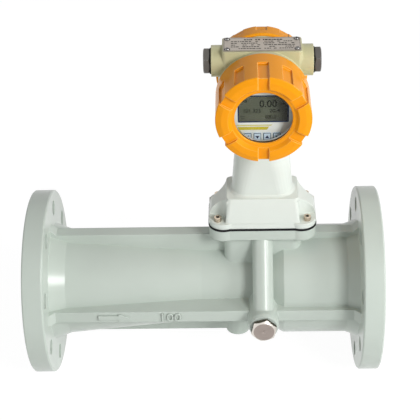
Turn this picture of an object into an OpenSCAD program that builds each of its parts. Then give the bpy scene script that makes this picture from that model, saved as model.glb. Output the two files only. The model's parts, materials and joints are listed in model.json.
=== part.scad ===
// Precession vortex flow meter: a flanged cast body with a helical swirl generator, a converging
// throat, a sensor well and a straightener, and a neck bracket that carries a swivelling head.
// X follows the flow from the inlet flange face, Z is up and the display looks towards negative Y.

/* [Pipe run] */
// Length between the two flange faces
face_to_face = 410; // [404:1:430]
// Outside diameter of both flanges
flange_d = 220; // [212:1:240]
// Thickness of each flange
flange_t = 24; // [18:0.5:26]
// Bevel on the rims of the flanges
flange_bevel = 1.5; // [0.5:0.25:2.5]
// Distance from a flange's rim in to the bolt circle
bolt_edge = 20; // [17:0.5:22]
// Diameter of the bolt holes
bolt_hole_d = 18; // [14:0.5:20]
// Bolts in each flange
bolt_count = 8; // [4:4:12]
// Bore of the pipe
bore_d = 100; // [97:0.5:102]
// Distance from a flange's rim in to the hub
hub_edge = 40; // [37:0.5:43]
// Length of the inlet hub
inlet_hub_len = 19; // [12:1:26]
// Length of the outlet hub
outlet_hub_len = 14; // [8:1:20]
// Outside diameter of the wide end of the inlet taper
inlet_d = 126; // [123:0.5:130]
// Outside diameter of the outlet tube
outlet_d = 130; // [124:0.5:134]
// Outside diameter round the throat
throat_outer_d = 97; // [93:0.5:102]
// Distance from the inlet face to the narrow end of the outer taper
taper_end = 202; // [190:1:215]
// Distance from the sensor axis back to the start of the outer step cone
step_lead = 5.5; // [2:0.5:10]
// Length of the outer step cone
step_len = 30; // [24:1:36]
// Reach of the four outer rails from the pipe axis
rail_reach = 72; // [69:0.5:78]
// Width of each rail
rail_w = 15; // [8:0.5:18]
// Bevel where a rail runs into a flange
rail_foot = 7; // [2:0.5:12]

/* [Flow passage] */
// Bore of the throat
throat_d = 72; // [66:0.5:76]
// Diameter of the pockets that hold the swirl generator and the straightener
sleeve_d = 105; // [104:0.5:106]
// Wall of the two sleeves
sleeve_wall = 2.5; // [1.5:0.25:3]
// Length of the swirl generator
generator_len = 76; // [66:1:80]
// Diameter of the hub of the swirl generator
vane_hub_d = 42; // [34:1:48]
// Helical vanes
vane_count = 6; // [4:1:8]
// Thickness of a vane at its root
vane_t = 3.2; // [2:0.1:4]
// Angle that a vane winds round the hub
vane_turn = 58; // [40:1:70]
// Straight length of pipe between the swirl generator and the contraction
generator_gap = 14; // [8:1:20]
// Length of the contraction
contraction_len = 104; // [90:1:110]
// Length of the throat bore
throat_len = 52; // [46:1:58]
// Length of the diffuser
diffuser_len = 42; // [34:1:50]
// Length of the straightener
breaker_len = 54; // [40:1:58]
// Straight plates in the straightener
breaker_plates = 6; // [4:1:8]
// Thickness of a straightener plate
breaker_t = 3; // [2:0.1:4]
// Thickness of the retaining rings
ring_t = 4; // [3:0.25:5]
// Bore of the retaining rings
ring_bore_d = 94; // [90:1:96]
// Depth of the retaining rings inside the flange faces
ring_inset = 2; // [1:0.25:3]

/* [Sensor well and pad] */
// Distance from the inlet face to the sensor axis
axis_x = 273.5; // [268:0.5:279]
// Length of the well along the pipe
well_l = 89; // [82:1:94]
// Width of the well across the pipe
well_w = 48; // [42:1:54]
// Corner radius of the well
well_corner = 10; // [6:0.5:14]
// Length of the pad along the pipe
pad_l = 123; // [119:0.5:128]
// Width of the pad over its corners
pad_w = 69; // [67:0.5:72]
// Width of the pad between its corners
pad_waist_w = 66; // [65:0.5:67]
// Corner radius of the pad
pad_corner = 17; // [14:0.5:19]
// Height of the top of the pad above the pipe axis
pad_top = 94; // [92:0.5:96]
// Thickness of the pad
pad_t = 13.5; // [12:0.5:15]
// Diameter of the sensor flange pocket
sensor_flange_d = 32; // [28:0.5:34]
// Diameter of the sensor bore
sensor_d = 20; // [16:0.5:24]
// Depth of the sensor flange in the pad
sensor_seat = 8; // [6:0.5:9]
// Diameter of the small probe pockets
probe_head_d = 12; // [10:0.5:12.5]
// Diameter of the temperature probe
probe_d = 6; // [4:0.5:8]
// Distance from the sensor axis to the temperature probe
probe_offset = 30; // [28:0.5:33]
// Distance from the sensor axis to the pressure sensor
tap_offset = 24.5; // [24:0.25:25]

/* [Pressure tap] */
// Diameter of the sloping tap tube
tap_tube_d = 24; // [20:0.5:26]
// Distance of the tap tube's upper end in front of the pipe axis
tap_top_y = 18; // [16:0.5:20]
// Distance of the tap tube's lower end in front of the pipe axis
tap_foot_y = 82; // [78:0.5:84]
// Diameter of the drilled passage in the tube
tap_passage_d = 6; // [3:0.5:8]
// Diameter of the port boss
port_d = 35; // [32:0.5:37]
// Distance of the port face in front of the pipe axis
port_face = 93.5; // [91:0.5:97]
// Length of the bevel on the port boss
port_bevel = 4.5; // [2:0.5:6]
// Diameter of the port bore
port_bore_d = 16; // [14:0.5:18]
// Depth of the port bore
port_depth = 20; // [16:1:24]
// Width across flats of the port plug
port_plug_af = 27; // [24:0.5:29]
// Length of the hexagonal head of the port plug
port_plug_h = 6; // [4:0.5:8]
// Diameter of the boss under the throat
drain_d = 29; // [24:0.5:32]
// Distance from the sensor axis back to the boss under the throat
drain_lead = 30; // [24:1:36]
// Reach of the boss under the throat below the pipe axis
drain_reach = 76.5; // [74:0.5:80]

/* [Neck bracket] */
// Thickness of the gasket under the bracket
gasket_t = 2.5; // [1.5:0.25:3]
// Width of the gasket that shows round the pad
gasket_lip = 0.75; // [0.5:0.25:1.25]
// Thickness of the bracket's foot plate
foot_t = 6.5; // [5.5:0.5:8]
// Height of the bracket above the gasket
bracket_h = 35; // [32:0.5:38]
// Length of the bracket's body at its foot
bracket_l = 91; // [89:0.5:93]
// Length of the bracket's body at its top
bracket_top_l = 82; // [80:0.5:84]
// Width of the bracket at its top
bracket_top_w = 48.6; // [47:0.2:52]
// Corner radius of the bracket's body
bracket_corner = 6; // [4:0.5:8]
// Height above the gasket at which the shoulders start
shoulder_h = 15.5; // [13:0.5:18]
// Length over the shoulders where they start
shoulder_l = 117; // [115:0.5:119]
// Radius of the pockets round the screws
pocket_r = 13.4; // [12:0.1:14]
// Distance from the ends of the pad in to the screws
screw_edge_x = 10.3; // [9.5:0.1:11]
// Distance from the sides of the pad in to the screws
screw_edge_y = 10; // [9:0.5:12]
// Shank diameter of the screws
screw_d = 5; // [4:0.5:6]
// Head diameter of the screws
screw_head_d = 8.5; // [7.5:0.25:9.5]
// Length of the neck at its root
neck_root_l = 70; // [66:0.5:74]
// Width of the neck at its root
neck_root_w = 37; // [35:0.5:41]
// Diameter of the neck at its top
neck_top_d = 57.5; // [56:0.5:60]
// Height of the neck's top face above the pipe axis
neck_top = 214; // [210:0.5:215]
// Diameter of the head's journal in the neck
journal_d = 40; // [36:0.5:44]
// Length of the journal
journal_len = 14; // [12:0.5:18]
// Diameter of the wire passage through the neck
wireway_d = 14; // [10:0.5:16]
// Diameter of the screw that locks the head
lock_d = 6; // [5:0.5:7]

/* [Head housing] */
// Height of the head's axis above the neck's top face
head_rise = 53; // [52.5:0.5:57]
// Diameter of the housing's barrel
barrel_d = 95; // [93:0.5:97]
// Distance from the neck axis to the front end of the barrel
barrel_front = 26; // [25:0.5:28]
// Distance from the neck axis to the rear end of the barrel
barrel_rear = 18.5; // [18:0.5:20]
// Diameter of the spigots that carry the covers
spigot_d = 87.4; // [86.6:0.1:88.4]
// Distance from the neck axis to the end of the front spigot
spigot_front = 61; // [60.8:0.1:61.4]
// Distance from the neck axis to the end of the rear spigot
spigot_rear = 34.5; // [33:0.5:35]
// Diameter of the two compartments
cavity_d = 83; // [82.6:0.1:84]
// Distance from the neck axis to the front of the partition
partition_front = 14; // [12:0.5:16]
// Distance from the neck axis to the rear of the partition
partition_rear = 4; // [2:0.5:6]
// Width of the flat-topped block
block_w = 85; // [83:0.5:88]
// Depth of the block along the head's axis
block_depth = 35; // [33.5:0.5:36]
// Height of the block's top above the head's axis
block_top = 46.5; // [46:0.5:49]
// Corner radius of the block
block_corner = 4; // [2:0.5:6]
// Height of the conduit entries above the head's axis
conduit_rise = 28; // [27:0.5:29]
// Diameter of the conduit bosses
conduit_boss_d = 34; // [32:0.5:35]
// Distance from the neck axis to the faces of the conduit bosses
conduit_face = 54.5; // [52:0.5:58]
// Diameter of the conduit bores
conduit_bore_d = 20; // [18:0.5:21]
// Length of the conduit bores
conduit_depth = 26; // [24:0.5:30]
// Width across flats of the conduit plugs
conduit_plug_af = 26; // [23:0.5:28]
// Length of the hexagonal heads of the conduit plugs
conduit_plug_h = 7; // [6:0.5:9]
// Thickness of the washers under the plugs
washer_t = 1.5; // [1:0.25:2]

/* [Covers] */
// Outside diameter of both covers
cover_d = 100.4; // [99.6:0.2:102]
// Distance from the neck axis to the crest of the front cover's lugs
cover_front = 82; // [81.5:0.1:83]
// Distance from the neck axis to the rear of the rear cover
cover_rear = 38.5; // [38:0.5:40]
// Bevel round the covers' rims next to the housing and at the rear
cover_bevel = 1.3; // [0.5:0.1:1.8]
// Lugs round the front face
lug_count = 6; // [4:1:6]
// Diameter of the lugs' crest
lug_crest_d = 88; // [86:0.5:90]
// Diameter at which the lugs start to slope down to the window
lug_inner_d = 74; // [73:0.5:77]
// Diameter at the foot of the lugs' inner slopes
lug_foot_d = 67.5; // [66:0.5:69]
// Fall of the lugs from their crest out to the rim
lug_fall = 1.8; // [1:0.1:2.4]
// Depth from the lugs' crest down to the face between them
face_drop = 3.6; // [3:0.1:4]
// Depth from the lugs' crest down to the edge of the window
window_drop = 5; // [4.6:0.1:5.4]
// Diameter inside the cover behind the window wall
cover_ring_d = 75.2; // [74:0.2:77]
// Grooves along each cover's rim
groove_count = 12; // [8:2:14]
// Width of the grooves
groove_w = 11.5; // [8:0.5:13]
// Depth of the grooves in the front cover
front_groove_depth = 2.2; // [1.5:0.1:2.6]
// Length of the grooves in the front cover
front_groove_len = 35.5; // [30:0.5:38]
// Depth of the grooves in the rear cover
rear_groove_depth = 1.3; // [0.8:0.1:2]
// Length of the grooves in the rear cover
rear_groove_len = 10; // [7:0.5:12]
// Diameter of the window opening
window_d = 60.4; // [58:0.2:61]
// Diameter of the window glass
glass_d = 68; // [66:0.5:70]
// Thickness of the window glass
glass_t = 4.5; // [4:0.25:4.7]
// Thickness of the window gasket
window_gasket_t = 0.8; // [0.5:0.1:1]
// Thickness of the front wall at the window
window_wall = 2.5; // [2:0.1:3]
// Thickness of the ring that holds the glass
window_ring_t = 2.5; // [2:0.1:2.6]
// Width of the grooves for the cover seals
seal_w = 3; // [2.5:0.25:4]
// Radial thickness of the cover seals
seal_t = 2.2; // [1.5:0.1:2.4]
// Thickness of the rear cover's end wall
rear_wall = 3.2; // [2.5:0.1:3.5]

/* [Electronics] */
// Diameter of the display panel
panel_d = 82; // [81.6:0.1:82.4]
// Thickness of the display panel
panel_t = 2.5; // [2:0.1:3]
// Distance from the neck axis to the face of the display panel
panel_face = 60.5; // [60.3:0.1:60.8]
// Width of the display glass
lcd_w = 53; // [50:0.5:54]
// Height of the display glass
lcd_h = 31.6; // [30:0.2:32]
// Height of the middle of the display above the head's axis
lcd_rise = 2.5; // [2:0.25:3]
// Width of a key
key_w = 8; // [7:0.1:8.2]
// Height of a key
key_h = 8.4; // [7:0.1:8.6]
// Distance between the middles of the keys
key_pitch = 10.3; // [10:0.1:10.5]
// Distance from the head's axis down to the middle of the keys
key_drop = 30.2; // [29.5:0.1:30.4]
// Distance that a key moves when it is pressed
key_travel = 0.4; // [0.3:0.05:0.5]
// Thickness of the circuit board
board_t = 1.6; // [1:0.1:2]
// Height of the circuit board above the partition
board_rise = 32; // [28:0.5:34]
// Width of the battery pack
battery_w = 58; // [50:0.5:60]
// Height of the battery pack
battery_h = 30; // [26:0.5:30]
// Thickness of the battery pack
battery_t = 18; // [15:0.5:24]
// Poles of the terminal block
pole_count = 6; // [4:1:7]
// Distance between the poles
pole_pitch = 8; // [7:0.25:8.5]

/* [Nameplate] */
// Length of the nameplate
plate_l = 82; // [78:0.5:84]
// Width of the nameplate
plate_w = 31; // [28:0.5:33]
// Thickness of the nameplate
plate_t = 0.8; // [0.5:0.1:1.2]
// Diameter of the nameplate's screw heads
plate_screw_d = 5.2; // [4:0.1:5.4]

/* [Hidden] */
$fn = 96;
// Cuts run past the faces that they open by this much
overrun = 1;
// Radial play between turning or sliding fits
play = 0.05;
// Axial gap between a moving cover and the face it closes on
face_gap = 0.3;
// Gap under the swivelling head
swivel_gap = 0.2;
// Play round a screw shank in its clearance hole
screw_play = 0.25;
// Thin slabs that the neck's blends run between
slab = 0.5;
// Depth to which the vanes reach into their hub
root = 1.2;
// Wall over the pressure sensor pocket's floor
tap_floor = 4;
// Sides of the slabs between which the neck and the bracket are blended
blend_sides = 32;
// Share of a hexagon's corner reach over its width across flats
corner_share = 1 / sqrt(3);

flange_r = flange_d / 2;
rim_r = flange_r - flange_bevel;
bore_r = bore_d / 2;
bolt_pcd = flange_d - 2 * bolt_edge;
hub_d = flange_d - 2 * hub_edge;
throat_r = throat_d / 2;
sleeve_r = sleeve_d / 2;
sleeve_in_r = sleeve_r - play - sleeve_wall;
generator_start = ring_inset + ring_t;
generator_end = generator_start + generator_len;
contraction_start = generator_end + generator_gap;
throat_start = contraction_start + contraction_len;
throat_end = throat_start + throat_len;
diffuser_end = throat_end + diffuser_len;
breaker_end = face_to_face - ring_inset - ring_t;
breaker_start = breaker_end - breaker_len;
outlet_flange_x = face_to_face - flange_t;
outlet_hub_x = outlet_flange_x - outlet_hub_len;
step_start = axis_x - step_lead;
step_end = step_start + step_len;
contraction_steps = 8;
// Steps along a vane's helix
vane_steps = 12;

pad_bottom = pad_top - pad_t;
screw_pitch_x = pad_l - 2 * screw_edge_x;
screw_pitch_y = pad_w - 2 * screw_edge_y;
pad_ear_x = pad_l / 2 - pad_corner;
pad_ear_y = pad_w / 2 - pad_corner;
gasket_top = pad_top + gasket_t;
foot_top = gasket_top + foot_t;
bracket_top = gasket_top + bracket_h;
well_foot = well_w / 3;
sensor_tip = -throat_r / 3;
probe_tip = bore_r / 3;
screw_reach = pad_t * 0.8;
tap_slope = (tap_foot_y - tap_top_y) / pad_bottom;
tap_angle = atan(tap_slope);
tap_start_z = pad_bottom - tap_tube_d * 0.27;
tap_len = tap_start_z / cos(tap_angle);
port_seal_t = port_plug_h / 4;

head_z = neck_top + head_rise;
swivel_face = neck_top + swivel_gap;
collar_top = head_z - cover_d / 2 - overrun;
seal_from_end = seal_w;
key_shares = [-1.5, -0.5, 0.5, 1.5];
key_shift = key_pitch / 10;
key_stand = key_travel * 1.5;
key_flange_t = panel_t * 0.9;
panel_back = panel_face - panel_t;
board_back = partition_front + board_rise;
board_front = board_back + board_t;
switch_top = panel_back - key_flange_t - key_travel - play;
post_d = cavity_d / 14;
// Places of the board's posts as shares of the compartment's radius
post_shares = [[-0.45, 0.7], [0.45, 0.7], [-0.665, -0.5], [0.665, -0.5]];
window_seat = cover_front - window_drop - window_wall;
glass_back = window_seat - window_gasket_t - glass_t;
lug_lip = lug_fall / 3;
cover_bore_end = spigot_front + face_gap * 2;
plate_screw_inset = plate_screw_d * 0.75;

body_paint = [0.74, 0.79, 0.74];
neck_paint = [0.86, 0.89, 0.85];
head_paint = [0.85, 0.81, 0.62];
cover_paint = [0.95, 0.61, 0.08];
steel = [0.68, 0.67, 0.64];
dark_steel = [0.42, 0.40, 0.37];
black_rubber = [0.06, 0.06, 0.06];

// Places its children on the pipe axis with their height along the flow
module along_pipe() rotate([0, 90, 0]) children();

// Places its children on the sensor axis at a height above the pipe axis
module at_axis(z = 0) translate([axis_x, 0, z]) children();

// Places its children on the head's axis, with their height towards the front
module at_head() translate([axis_x, 0, head_z]) rotate([90, 0, 0]) children();

// A rectangle with round corners
module round_rect(l, w, r) {
    square([l - 2 * r, w], center = true);
    square([l, w - 2 * r], center = true);
    for (x = [-1, 1]) for (y = [-1, 1])
        translate([x * (l / 2 - r), y * (w / 2 - r)]) circle(r = r);
}

// A plain ring between two radii
module ring(r_out, r_in, h) {
    difference() {
        cylinder(r = r_out, h = h);
        translate([0, 0, -overrun]) cylinder(r = r_in, h = h + 2 * overrun);
    }
}

// A hexagonal head with both rims bevelled, standing on its own seat
module hex_head(af, h) {
    bevel = af / 20;
    intersection() {
        cylinder(r = af * corner_share, h = h, $fn = 6);
        rotate_extrude() polygon([[0, 0], [af / 2, 0], [af * corner_share, bevel],
            [af * corner_share, h - bevel], [af / 2 - bevel, h], [0, h]]);
    }
}

// The outline of the pad, the gasket and the bracket's foot, grown by a lip
module pad_outline(grow, waist) {
    square([2 * pad_ear_x, waist + 2 * grow], center = true);
    square([pad_l + 2 * grow, 2 * pad_ear_y], center = true);
    for (x = [-1, 1]) for (y = [-1, 1])
        translate([x * pad_ear_x, y * pad_ear_y]) circle(r = pad_corner + grow);
}

// Puts one child at each of the four bracket screws
module at_screws() {
    for (x = [-1, 1]) for (y = [-1, 1])
        translate([axis_x + x * screw_pitch_x / 2, y * screw_pitch_y / 2, 0]) children();
}

// Outer turned form of the pipe run
module run_outside() {
    along_pipe() rotate_extrude() polygon([[0, 0], [rim_r, 0], [flange_r, flange_bevel],
        [flange_r, flange_t - flange_bevel], [rim_r, flange_t], [hub_d / 2, flange_t],
        [inlet_d / 2, flange_t + inlet_hub_len], [throat_outer_d / 2, taper_end],
        [throat_outer_d / 2, step_start], [outlet_d / 2, step_end], [outlet_d / 2, outlet_hub_x],
        [hub_d / 2, outlet_flange_x], [rim_r, outlet_flange_x],
        [flange_r, outlet_flange_x + flange_bevel], [flange_r, face_to_face - flange_bevel],
        [rim_r, face_to_face], [0, face_to_face]]);
}

// Flow passage with the two sleeve pockets, a smooth contraction and a diffuser
module run_passage() {
    along_pipe() rotate_extrude() polygon(concat(
        [[0, -overrun], [sleeve_r, -overrun], [sleeve_r, generator_end], [bore_r, generator_end]],
        [for (i = [0:contraction_steps]) [
            bore_r - (bore_r - throat_r) * (1 - cos(180 * i / contraction_steps)) / 2,
            contraction_start + contraction_len * i / contraction_steps]],
        [[throat_r, throat_end], [bore_r, diffuser_end], [bore_r, breaker_start],
            [sleeve_r, breaker_start], [sleeve_r, face_to_face + overrun],
            [0, face_to_face + overrun]]));
}

// Two rails in one plane through the axis, with bevelled feet at the flanges
module rail_pair() {
    low = rail_reach + rail_foot;
    rotate([90, 0, 0]) linear_extrude(rail_w, center = true) polygon([
        [flange_t / 2, -low], [flange_t, -low], [flange_t + rail_foot, -rail_reach],
        [outlet_flange_x - rail_foot, -rail_reach], [outlet_flange_x, -low],
        [outlet_flange_x + flange_t / 2, -low], [outlet_flange_x + flange_t / 2, low],
        [outlet_flange_x, low], [outlet_flange_x - rail_foot, rail_reach],
        [flange_t + rail_foot, rail_reach], [flange_t, low], [flange_t / 2, low]]);
}

module bolt_holes(x) {
    for (i = [0:bolt_count - 1]) rotate([(i + 0.5) * 360 / bolt_count, 0, 0])
        translate([x - overrun, 0, bolt_pcd / 2]) along_pipe()
            cylinder(d = bolt_hole_d, h = flange_t + 2 * overrun);
}

// A cylinder along the sloping pressure tap, from its foot upwards
module tap_cylinder(d, from, to) {
    translate([axis_x, -tap_foot_y, 0]) rotate([-tap_angle, 0, 0]) translate([0, 0, from])
        cylinder(d = d, h = to - from);
}

module meter_body() color(body_paint) difference() {
    union() {
        run_outside();
        rail_pair();
        rotate([90, 0, 0]) rail_pair();
        at_axis(well_foot) linear_extrude(pad_top - well_foot - pad_t / 2)
            round_rect(well_l, well_w, well_corner);
        at_axis(pad_bottom) linear_extrude(pad_t) pad_outline(0, pad_waist_w);
        tap_cylinder(tap_tube_d, 0, tap_len);
        translate([axis_x, -throat_outer_d / 3, 0]) rotate([90, 0, 0])
            cylinder(d = port_d, h = port_face - port_bevel - throat_outer_d / 3);
        translate([axis_x, -port_face + port_bevel, 0]) rotate([90, 0, 0])
            cylinder(d1 = port_d, d2 = port_plug_af * 2 * corner_share + overrun, h = port_bevel);
        translate([axis_x - drain_lead, 0, -drain_reach])
            cylinder(d = drain_d, h = drain_reach - throat_r);
    }
    run_passage();
    bolt_holes(0);
    bolt_holes(outlet_flange_x);
    at_axis(0) cylinder(d = sensor_d, h = pad_top + overrun);
    at_axis(pad_top - sensor_seat) cylinder(d = sensor_flange_d, h = sensor_seat + overrun);
    at_axis(0) translate([probe_offset, 0, 0]) {
        cylinder(d = probe_d, h = pad_top + overrun);
        translate([0, 0, pad_top - sensor_seat]) cylinder(d = probe_head_d, h = sensor_seat + overrun);
    }
    at_axis(pad_bottom - tap_floor) translate([0, -tap_offset, 0])
        cylinder(d = probe_head_d, h = pad_t + tap_floor + overrun);
    tap_cylinder(tap_passage_d, 0, tap_len);
    translate([axis_x, -port_face + port_depth, 0]) rotate([90, 0, 0])
        cylinder(d = port_bore_d, h = port_depth + overrun);
    at_screws() translate([0, 0, pad_top - screw_reach])
        cylinder(d = screw_d + 2 * play, h = screw_reach + overrun);
}

// Share of a vane's thickness left at a share s of its length, thin at both edges
function vane_share(s) = 0.3 + 0.7 * sqrt(sin(180 * s));

// Corner points of one vane: a helix whose pitch tightens along the flow
function vane_points(r_in, r_out, length) = [
    for (i = [0:vane_steps]) let (s = i / vane_steps, a = vane_turn * s * s,
        half = vane_t * vane_share(s) / 2, da = asin(half / r_in), db = asin(half / r_out))
    for (p = [[r_in, a - da], [r_out, a - db], [r_out, a + db], [r_in, a + da]])
        [length * s, p[0] * sin(p[1]), p[0] * cos(p[1])]];

module vane(r_in, r_out, length) {
    quads = [for (i = [0:vane_steps - 1]) for (k = [0:3]) let (j = (k + 1) % 4)
        [4 * i + k, 4 * i + j, 4 * i + 4 + j, 4 * i + 4 + k]];
    sides = [for (q = quads) for (t = [[q[0], q[1], q[2]], [q[0], q[2], q[3]]]) t];
    last = 4 * vane_steps;
    ends = [[0, 2, 1], [0, 3, 2], [last, last + 1, last + 2], [last, last + 2, last + 3]];
    polyhedron(points = vane_points(r_in, r_out, length), faces = concat(sides, ends));
}

module swirl_generator() color(steel) translate([generator_start, 0, 0]) {
    hub_r = vane_hub_d / 2;
    nose = vane_hub_d * 0.55;
    tail = vane_hub_d * 0.12;
    nose_steps = 8;
    along_pipe() rotate_extrude() polygon(concat(
        [[0, generator_len], [hub_r - tail, generator_len], [hub_r, generator_len - tail]],
        [for (i = [0:nose_steps]) [hub_r * cos(90 * i / nose_steps),
            nose - nose * sin(90 * i / nose_steps)]]));
    for (i = [0:vane_count - 1]) rotate([i * 360 / vane_count, 0, 0]) translate([nose + root, 0, 0])
        vane(hub_r - root, sleeve_in_r - play, generator_len - nose - tail - 2 * root);
}

// The thin sleeve round the vanes
module generator_sleeve() color(steel)
    translate([generator_start, 0, 0]) along_pipe() ring(sleeve_r - play, sleeve_in_r, generator_len);

// A retaining ring with four spanner notches in its bore
module notched_ring() {
    notch = ring_t;
    difference() {
        ring(sleeve_r - play, ring_bore_d / 2, ring_t);
        for (a = [0:90:270]) rotate([0, 0, a + 45]) translate([ring_bore_d / 2 - notch, -notch / 2, -overrun])
            cube([notch * 1.6, notch, ring_t + 2 * overrun]);
    }
}

module generator_ring() color(dark_steel)
    translate([ring_inset, 0, 0]) along_pipe() notched_ring();

module breaker_ring() color(dark_steel)
    translate([breaker_end, 0, 0]) along_pipe() notched_ring();

// Flat radial plates, joined at a small core, stop the swirl before the outlet
module swirl_breaker() color(steel) translate([breaker_start, 0, 0]) along_pipe() {
    cylinder(r = breaker_t * 2, h = breaker_len);
    for (i = [0:breaker_plates - 1]) rotate([0, 0, i * 360 / breaker_plates])
        translate([breaker_t, -breaker_t / 2, 0])
            cube([sleeve_in_r - 2 * play - breaker_t, breaker_t, breaker_len]);
}

// The sleeve round the straightener's plates
module breaker_sleeve() color(steel)
    translate([breaker_start, 0, 0]) along_pipe() ring(sleeve_r - play, sleeve_in_r, breaker_len);

// The vortex sensor: a clamped flange, a round stem and a flat blade in the throat
module vortex_sensor() color(steel) {
    stem_end = throat_r * 0.72;
    blade_w = sensor_d * 0.7;
    blade_t = sensor_d * 0.14;
    at_axis(pad_top - sensor_seat) cylinder(d = sensor_flange_d - 2 * play, h = sensor_seat + gasket_t);
    at_axis(stem_end) cylinder(d = sensor_d - 2 * play, h = pad_top - sensor_seat - stem_end);
    at_axis(sensor_tip) translate([-blade_w / 2, -blade_t / 2, 0])
        cube([blade_w, blade_t, stem_end - sensor_tip]);
}

module temperature_probe() color(steel) at_axis(0) translate([probe_offset, 0, 0]) {
    translate([0, 0, pad_top - sensor_seat])
        cylinder(d = probe_head_d - 2 * play, h = sensor_seat + gasket_t);
    translate([0, 0, probe_tip])
        cylinder(d = probe_d - 2 * play, h = pad_top - sensor_seat - probe_tip);
}

module pressure_sensor() color(steel) at_axis(pad_bottom) translate([0, -tap_offset, 0])
    cylinder(d = probe_head_d - 2 * play, h = pad_t + gasket_t);

// A hexagonal plug with a round stem in the port's bore and a centre dimple
module port_plug() color(steel) translate([axis_x, -port_face - port_seal_t, 0]) rotate([90, 0, 0]) {
    difference() {
        rotate([0, 0, 17]) hex_head(port_plug_af, port_plug_h);
        translate([0, 0, port_plug_h - port_seal_t / 2])
            cylinder(d = port_plug_af / 4.5, h = port_plug_h);
    }
    translate([0, 0, -port_depth * 0.7]) cylinder(d = port_bore_d - 2 * play, h = port_depth * 0.7);
}

module port_plug_seal() color(dark_steel) translate([axis_x, -port_face, 0]) rotate([90, 0, 0])
    ring(port_plug_af * 0.45, port_bore_d / 2, port_seal_t);

module neck_gasket() color(black_rubber) difference() {
    at_axis(pad_top) linear_extrude(gasket_t) pad_outline(gasket_lip, pad_waist_w);
    at_axis(pad_top - overrun) {
        cylinder(d = sensor_flange_d + 2 * screw_play, h = gasket_t + 2 * overrun);
        translate([probe_offset, 0, 0])
            cylinder(d = probe_head_d + 2 * screw_play, h = gasket_t + 2 * overrun);
        translate([0, -tap_offset, 0])
            cylinder(d = probe_head_d + 2 * screw_play, h = gasket_t + 2 * overrun);
    }
    at_screws() translate([0, 0, pad_top - overrun])
        cylinder(d = screw_d + 2 * screw_play, h = gasket_t + 2 * overrun);
}

// The round corners of a thin slab, which a hull joins into one end of a blend
module blend_slab(l, w, r) {
    linear_extrude(slab) for (x = [-1, 1]) for (y = [-1, 1])
        translate([x * (l / 2 - r), y * (w / 2 - r)]) circle(r = r, $fn = blend_sides);
}

// The side shoulders, drafted along the pipe and cut by the screw pockets
module bracket_wings() {
    at_axis(0) rotate([90, 0, 0]) linear_extrude(2 * pad_ear_y + pocket_r, center = true) polygon([
        [-pad_l / 2, foot_top - foot_t / 2], [pad_l / 2, foot_top - foot_t / 2],
        [pad_l / 2, foot_top], [shoulder_l / 2, gasket_top + shoulder_h],
        [bracket_top_l / 2 - bracket_corner / 4, bracket_top - bracket_corner / 3],
        [-bracket_top_l / 2 + bracket_corner / 4, bracket_top - bracket_corner / 3],
        [-shoulder_l / 2, gasket_top + shoulder_h], [-pad_l / 2, foot_top]]);
}

module neck_bracket() color(neck_paint) difference() {
    flare = neck_root_l / 28;
    neck_corner = neck_root_w * 0.45;
    union() {
        at_axis(gasket_top) linear_extrude(foot_t)
            pad_outline(0, pad_waist_w - foot_t / 3);
        difference() {
            union() {
                bracket_wings();
                hull() {
                    at_axis(gasket_top) blend_slab(bracket_l, pad_waist_w, bracket_corner);
                    at_axis(bracket_top - slab)
                        blend_slab(bracket_top_l, bracket_top_w, bracket_corner);
                }
            }
            for (x = [-1, 1]) for (y = [-1, 1])
                at_axis(foot_top) translate([x * (screw_pitch_x / 2 + pocket_r / 4),
                    y * screw_pitch_y / 2, 0])
                    cylinder(r = pocket_r, h = bracket_h);
        }
        hull() {
            at_axis(bracket_top - slab) blend_slab(neck_root_l, neck_root_w, neck_corner);
            at_axis(neck_top - slab) cylinder(d = neck_top_d, h = slab, $fn = 2 * blend_sides);
        }
        hull() {
            at_axis(bracket_top - slab)
                blend_slab(neck_root_l + 2 * flare, neck_root_w + 2 * flare, neck_corner + flare);
            at_axis(bracket_top + flare - slab) blend_slab(neck_root_l, neck_root_w, neck_corner);
        }
    }
    at_axis(gasket_top - overrun) cylinder(d = wireway_d, h = neck_top - gasket_top);
    at_axis(neck_top - journal_len - face_gap)
        cylinder(d = journal_d + 2 * play, h = journal_len + face_gap + overrun);
    at_axis(neck_top - lock_d) rotate([-90, 0, 0]) cylinder(d = lock_d, h = neck_top_d);
    at_screws() translate([0, 0, gasket_top - overrun])
        cylinder(d = screw_d + 2 * screw_play, h = foot_t + 2 * overrun);
}

// Socket-head screws through the bracket's foot into the pad
module neck_screws() color(steel) at_screws() {
    head_h = screw_d;
    difference() {
        translate([0, 0, foot_top]) cylinder(d = screw_head_d, h = head_h);
        translate([0, 0, foot_top + head_h / 2]) cylinder(d = screw_d * 0.9, h = head_h, $fn = 6);
    }
    translate([0, 0, pad_top - screw_reach + screw_play])
        cylinder(d = screw_d, h = foot_top - pad_top + screw_reach - screw_play);
}

module head_lock_screw() color(dark_steel) at_axis(neck_top - lock_d) rotate([-90, 0, 0])
    translate([0, 0, journal_d / 2 + face_gap]) difference() {
        cylinder(d = lock_d - 2 * play, h = lock_d * 1.3);
        translate([0, 0, lock_d * 0.7]) cylinder(d = lock_d * 0.55, h = lock_d, $fn = 6);
    }

// Bores of the conduit entries and the way for the wires up through the journal
module head_ways() {
    at_head() for (s = [-1, 1]) translate([s * (conduit_face + overrun), conduit_rise, 0])
        rotate([0, -90 * s, 0]) cylinder(d = conduit_bore_d, h = conduit_depth + overrun);
    at_axis(neck_top - journal_len - overrun) cylinder(d = wireway_d,
        h = head_z - cavity_d / 2.2 - neck_top + journal_len);
}

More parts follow.
